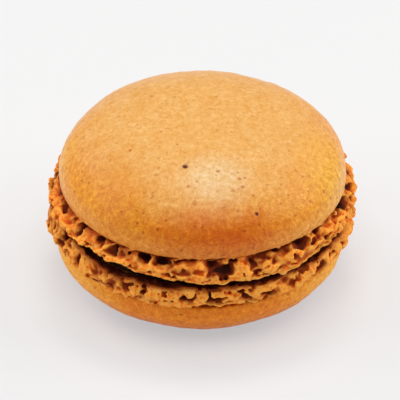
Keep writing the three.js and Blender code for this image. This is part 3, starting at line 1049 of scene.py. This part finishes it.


# The smooth skin: mottled gold, browner low down, and browner still on the front flank, partly toasted and
# partly painted shade.
def makeSkinMaterial(groups):
    material, tree = newMaterial("bakedAlmondSkin")
    grain = addGroup(tree, groups["grain"])
    place, height = placeAndHeight(tree)

    def patch(centre, reach, around=place):
        return patchMask(tree, groups, around, centre, reach, grain["Mottle"])

    mottled = rangeNode(tree, grain["Mottle"], *skinLook["noiseRange"])
    colour = mixColour(tree, mottled, skinLook["deep"], skinLook["light"])
    # A painted highlight: the paler patch on top.
    colour = mixColour(tree, patch(skinLook["paleCentre"], skinLook["paleReach"]), colour, skinLook["pale"])
    for centre, reach, share in skinLook["ambers"]:
        colour = mixShare(tree, patch(centre, reach), share, colour, skinLook["amber"])
    colour = mixColour(tree, rangeNode(tree, height, *skinLook["flankHeights"]), colour, skinLook["flank"])
    colour = mixColour(tree, rangeNode(tree, height, *skinLook["lipRimHeights"]), colour, skinLook["lipRim"])
    # Paler sides: partly paler skin, partly painted sheen.
    for centre, reach, share in skinLook["paleSides"]:
        colour = mixShare(tree, patch(centre, reach), share, colour, skinLook["paleSide"])
    # The front flank: partly toasting, partly painted shade.
    squash = skinLook["toastSquash"]
    squashed = addNode(tree, "ShaderNodeVectorMath", {0: place, 1: (squash, 1.0, 1.0)}, operation="MULTIPLY")
    x, y, z = skinLook["toastCentre"]
    toast = patch((squash * x, y, z), skinLook["toastReach"], squashed.outputs[0])
    colour = mixColour(tree, toast, colour, skinLook["toasted"])
    # A weaker patch on the front left flank, also partly painted shade.
    browned = patch(skinLook["brownedCentre"], skinLook["brownedReach"])
    colour = mixColour(tree, browned, colour, skinLook["browned"])
    speckShare = rangeNode(tree, height, *skinLook["brownerHeights"], *skinLook["speckShares"])
    colour = mixShare(tree, grain["Specks"], speckShare, colour, skinLook["speck"])
    browner = rangeNode(tree, height, *skinLook["brownerHeights"])    # the grain stands out more here
    colour = dusted(tree, groups, colour, grain, browner)
    for x, y, width, depth, shade in upperShell["spots"]:
        z = baseHeight + slit + heightAtRadius(upperShell, math.hypot(x, y)) - depth / 2
        away = distanceNode(tree, place, (x / 1000 + axisX, y / 1000 + axisY, z / 1000))
        end, full = (width / 1000 / reach for reach in skinLook["spotReach"])
        darkness = min(1.0, skinLook["spotStrength"] * shade)
        spot = skinLook["spot" if shade > skinLook["darkSpot"] else "faintSpot"]
        colour = mixShare(tree, rangeNode(tree, away, end, full), darkness, colour, spot)
    sheen, sheenRoughness = skinLook["sheen"]
    finishMaterial(tree, skinLook, colour, grain["Height"], {
        "Sheen Weight": sheen, "Sheen Roughness": sheenRoughness})
    return material


# The dome of the lower shell, turned down to the table, with painted light on its sides and painted shade
# near the ground.
def makeUndersideMaterial(groups):
    material, tree = newMaterial("bakedUndersideSkin")
    grain = addGroup(tree, groups["grain"])
    place, height = placeAndHeight(tree)
    # Painted light: the sides lighter than the front.
    centre, reach = undersideLook["frontCentre"], undersideLook["frontReach"]
    front = patchMask(tree, groups, place, centre, reach, grain["Mottle"])
    colour = mixColour(tree, front, undersideLook["sides"], undersideLook["front"])
    # Painted shade near the ground.
    nearGround = rangeNode(tree, height, *undersideLook["baseHeights"])
    colour = mixColour(tree, nearGround, colour, undersideLook["base"])
    colour = mixShare(tree, grain["Specks"], undersideLook["speckShare"], colour, undersideLook["speck"])
    colour = dusted(tree, groups, colour, grain, 1.0)
    finishMaterial(tree, undersideLook, colour, grain["Height"])
    return material


# The broken crumb: bright ridges, browner walls, and painted shade in the cavities that gets almost black at
# their bottom.
def makeCrumbMaterial(groups):
    material, tree = newMaterial("openAlmondCrumb")
    speckCount, speckShade = crumbLook["specks"]
    grain = addGroup(tree, groups["grain"], {"Grain Size": crumbLook["grainSize"], "Speck Share": speckCount})
    depth, fullness, innerRim, tornEdge = (
        addNode(tree, "ShaderNodeAttribute", attribute_name=label).outputs["Fac"]
        for label in ("poreDepth", "fullness", "innerRim", "tornEdge"))
    depth = mathNode(tree, "ADD", depth, rangeNode(tree, grain["Mottle"], *crumbLook["mottleRange"]))
    depth = mathNode(tree, "SUBTRACT", depth, crumbLook["mottleMiddle"])
    baked = rangeNode(tree, grain["Clumps"], *crumbLook["bakedRange"])
    ridge = mixColour(tree, baked, crumbLook["baked"], crumbLook["ridge"])
    # Browner walls where the crumb is fuller: partly painted shade.
    colour = mixColour(tree, rangeNode(tree, fullness, *crumbLook["wallRange"]), crumbLook["wall"], ridge)
    colour = mixShare(tree, grain["Specks"], speckShade, colour, crumbLook["pore"])
    # Painted shade: darker deeper below the skin, almost black at the bottom.
    colour = mixColour(tree, rangeNode(tree, depth, *crumbLook["cavityRange"]), colour, crumbLook["cavity"])
    colour = mixColour(tree, rangeNode(tree, depth, *crumbLook["pitRange"]), colour, crumbLook["pitBottom"])
    # The painted highlight along the torn edge.
    colour = mixColour(tree, tornEdge, colour, crumbLook["edge"])
    # Painted shade in the slit between the shells.
    colour = mixColour(tree, rangeNode(tree, innerRim, 0.0, 0.5), colour, crumbLook["ledge"])
    colour = mixColour(tree, rangeNode(tree, innerRim, 0.5, 1.0), colour, crumbLook["rim"])
    finishMaterial(tree, crumbLook, colour, grain["Height"])
    return material


def makeFillingMaterial(groups):
    material, tree = newMaterial("darkFilling")
    grain = addGroup(tree, groups["grain"], {"Grain Size": filling["grainSize"]})
    mottled = rangeNode(tree, grain["Mottle"], *filling["noiseRange"])
    colour = mixColour(tree, mottled, filling["dark"], filling["light"])
    finishMaterial(tree, filling, colour, grain["Height"])
    return material


view = {
    "distance": 0.45,
    "elevation": 36.5,
    "pixelsPerMetre": 6810.0,
    "originPixel": (200.9, 268.8),
    "imageSize": 400,
    "sensor": 36.0,
}


def makeCamera():
    focal = view["pixelsPerMetre"] * view["distance"]
    data = bpy.data.cameras.new("camera")
    data.sensor_width = view["sensor"]
    data.lens = focal * view["sensor"] / view["imageSize"]
    data.clip_start = 0.01
    camera = bpy.data.objects.new("camera", data)
    scene.collection.objects.link(camera)
    elevation = math.radians(view["elevation"])
    half = view["imageSize"] / 2
    turnUp = math.atan((view["originPixel"][1] - half) / focal)
    side = -(view["originPixel"][0] - half) / view["pixelsPerMetre"]
    camera.location = (side, -view["distance"] * math.cos(elevation), view["distance"] * math.sin(elevation))
    camera.rotation_euler = (math.pi / 2 - elevation + turnUp, 0.0, 0.0)
    bpy.context.scene.camera = camera
    print("camera done")


studio = {
    "floorColour": (0.53, 0.45, 0.42, 1.0),
    "floorGlow": (0.337, 0.424, 0.456, 1.0),    # makes the floor pale and keeps its shadows grey
    "floorReach": 3.0,
    "world": 0.186,
    "lights": [               # name, place, size across, size along and power
        ("keyLight", (0.01, 0.15, 0.5), 0.16, 0.14, 0.42),
        ("overheadStrip", (0.0, 0.04, 0.42), 1.1, 0.25, 0.56),
        ("leftLight", (-0.5, -0.06, 0.24), 0.35, 0.35, 0.79),
        ("rightLight", (0.5, -0.04, 0.24), 0.35, 0.35, 0.93),
        ("backLeftLight", (-0.38, 0.28, 0.3), 0.25, 0.25, 0.56),
        ("backRightLight", (0.38, 0.28, 0.3), 0.25, 0.25, 0.51),
        ("frontLight", (0.0, -0.25, 0.5), 0.3, 0.3, 0.79),
    ],
}


def addLight(name, place, across, along, power):
    data = bpy.data.lights.new(name, "AREA")
    data.shape = "RECTANGLE"
    data.size, data.size_y = across, along
    data.energy = power
    light = bpy.data.objects.new(name, data)
    light.location = place
    light.rotation_euler = Vector(place).to_track_quat("Z", "Y").to_euler()
    scene.collection.objects.link(light)


def makeStudio():
    reach = studio["floorReach"]
    floorMesh = bpy.data.meshes.new("floor")
    floorMesh.from_pydata([(-reach, -reach, 0), (reach, -reach, 0), (reach, reach, 0), (-reach, reach, 0)],
                          [], [(0, 1, 2, 3)])
    floor = bpy.data.objects.new("floor", floorMesh)
    scene.collection.objects.link(floor)
    material = bpy.data.materials.new("paleFloor")
    material.use_nodes = True
    shader = material.node_tree.nodes["Principled BSDF"]
    shader.inputs["Base Color"].default_value = studio["floorColour"]
    shader.inputs["Roughness"].default_value = 0.9
    shader.inputs["Specular IOR Level"].default_value = 0.0
    shader.inputs["Emission Color"].default_value = studio["floorGlow"]
    shader.inputs["Emission Strength"].default_value = 1.0
    floorMesh.materials.append(material)

    world = bpy.data.worlds.new("softWorld")
    world.use_nodes = True
    world.node_tree.nodes["Background"].inputs["Color"].default_value = (1.0, 1.0, 1.0, 1.0)
    world.node_tree.nodes["Background"].inputs["Strength"].default_value = studio["world"]
    scene.world = world
    scene.view_settings.view_transform = "Standard"
    for light in studio["lights"]:
        addLight(*light)
    print("studio done:", len(studio["lights"]), "lights")


makeCamera()
makeStudio()
groups = {"grain": makeAlmondGrain(), "patch": makeSoftPatch(), "dusting": makeAlmondDusting()}
crumbMaterial, fillingMaterial = makeCrumbMaterial(groups), makeFillingMaterial(groups)
skinMaterial, undersideMaterial = makeSkinMaterial(groups), makeUndersideMaterial(groups)
print("materials done:", len(groups), "shared groups")

for pieceName, spec, isUpper, node, domeMaterial in (
    ("lowerMacaronShell", lowerShell, False, "lower_shell", undersideMaterial),
    ("upperMacaronShell", upperShell, True, "upper_shell", skinMaterial),
):
    piece = buildShell(pieceName, spec, isUpper)
    piece.data.materials.append(domeMaterial)
    piece.data.materials.append(crumbMaterial)
    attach(piece, "root")
    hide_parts(node)

disc = buildFilling()
disc.data.materials.append(fillingMaterial)
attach(disc, "root")
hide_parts("filling")
